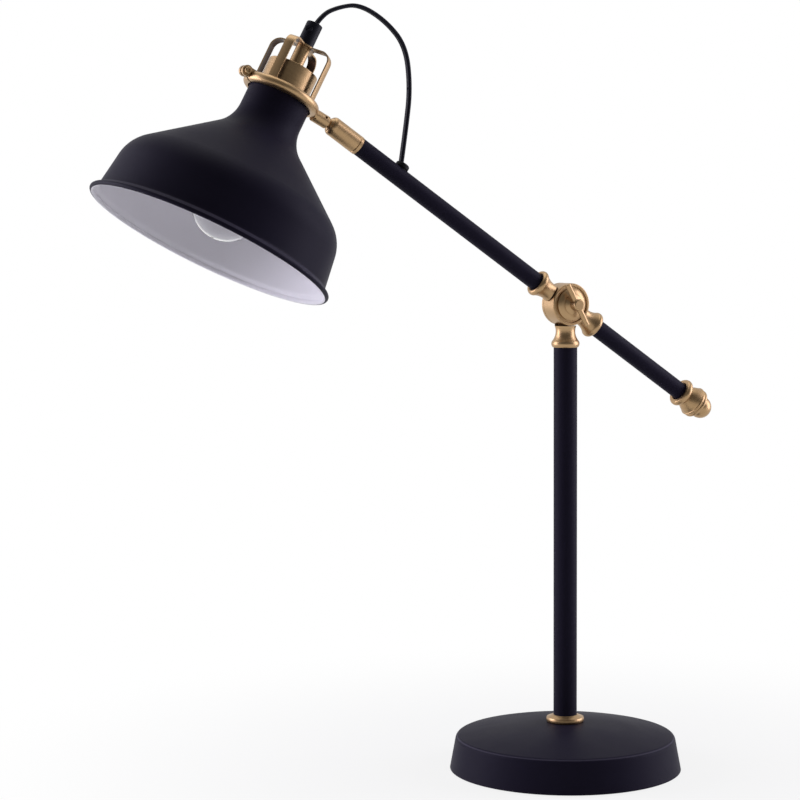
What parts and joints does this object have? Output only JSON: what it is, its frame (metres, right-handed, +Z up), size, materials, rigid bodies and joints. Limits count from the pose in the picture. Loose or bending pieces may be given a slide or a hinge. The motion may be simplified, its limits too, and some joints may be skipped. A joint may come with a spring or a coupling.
{
  "type": "bedside lamp",
  "caption": "Bedside lamp with a weighted round base, column, clamped tilting arm with a ball-jointed bell shade, strap cage and brass fittings.",
  "frame": {"origin": "centre of the base's resting face, on the surface that the lamp stands on", "axes": "+Z up the column, arm in the XZ plane, shade towards -X, clamp handle towards -Y"},
  "size_m": [0.5379, 0.1942, 0.6116],
  "materials": {
    "black_paint": "fine satin powder coat, blue black",
    "shade_enamel": "blue black powder coat outside, white enamel inside",
    "aged_brass": "satin brushed antique brass",
    "plain_steel": "zinc plated",
    "cast_weight": "rough cast",
    "pad_felt": "felt",
    "black_rubber": "moulded",
    "black_cord": "satin sheath",
    "black_plastic": "matte",
    "fibre": "pressed fibre",
    "nylon": "natural nylon",
    "bright_contact": "nickel plated",
    "clear_glass": "clear",
    "filament": "phosphor coat"
  },
  "bodies": {
    "stand": {"base_shell": "black_paint", "base_weight": "cast_weight", "base_pad": "pad_felt", "cord_outlet_bush": "black_rubber", "column_rod": "plain_steel", "column_washer": "plain_steel", "column_nut": "plain_steel", "column_tube": "black_paint", "column_foot_plug": "plain_steel", "column_top_plug": "plain_steel", "column_nipple": "plain_steel", "foot_collar": "aged_brass", "hub_body": "aged_brass", "friction_washer": "fibre", "column_lead": "black_cord"},
    "arm": {"arm_drum": "aged_brass", "front_nipple": "plain_steel", "rear_nipple": "plain_steel", "front_ferrule": "aged_brass", "rear_ferrule": "aged_brass", "front_arm_tube": "black_paint", "rear_arm_tube": "black_paint", "tail_finial": "aged_brass", "end_plug": "plain_steel", "socket_cap": "aged_brass", "arm_grommet": "black_rubber", "arm_lead": "black_cord", "cord_lower": "black_cord"},
    "clamp": {"clamp_cap": "aged_brass", "clamp_screw": "aged_brass", "clamp_bar": "aged_brass"},
    "ball_seat": {"ball_seat": "nylon"},
    "head": {"ball_stud": "aged_brass", "clamp_ring": "aged_brass", "ring_screw": "aged_brass", "ring_nut": "plain_steel", "shade": "shade_enamel", "cage": "aged_brass", "socket_cup": "aged_brass", "spacer_tube": "aged_brass", "lamp_nipple": "plain_steel", "holder_body": "black_plastic", "screw_shell": "bright_contact", "centre_contact": "bright_contact", "cord_grip": "black_plastic", "grip_screw": "black_plastic", "bulb_glass": "clear_glass", "bulb_cap": "bright_contact", "bulb_stem": "clear_glass", "bulb_filaments": "filament", "head_lead": "black_cord", "cord_upper": "black_cord"}
  },
  "joints": [
    {"name": "arm_tilt", "type": "hinge", "parent": "stand", "child": "arm", "pos_m": [0, 0, 0.3789], "axis": [0, 1, 0], "range_deg": [-45, 5]},
    {"name": "clamp_turn", "type": "hinge", "parent": "stand", "child": "clamp", "pos_m": [0, 0, 0.3789], "axis": [0, -1, 0], "range_deg": [0, 180]},
    {"name": "head_swivel", "type": "hinge", "parent": "arm", "child": "ball_seat", "pos_m": [-0.2075, 0, 0.51834], "axis": [-0.83, 0, 0.5577], "range_deg": [-45, 45], "deforming": ["cord_lower"]},
    {"name": "head_tilt", "type": "hinge", "parent": "ball_seat", "child": "head", "pos_m": [-0.2075, 0, 0.51834], "axis": [0, 1, 0], "range_deg": [-19, 30], "deforming": ["cord_upper"]}
  ]
}
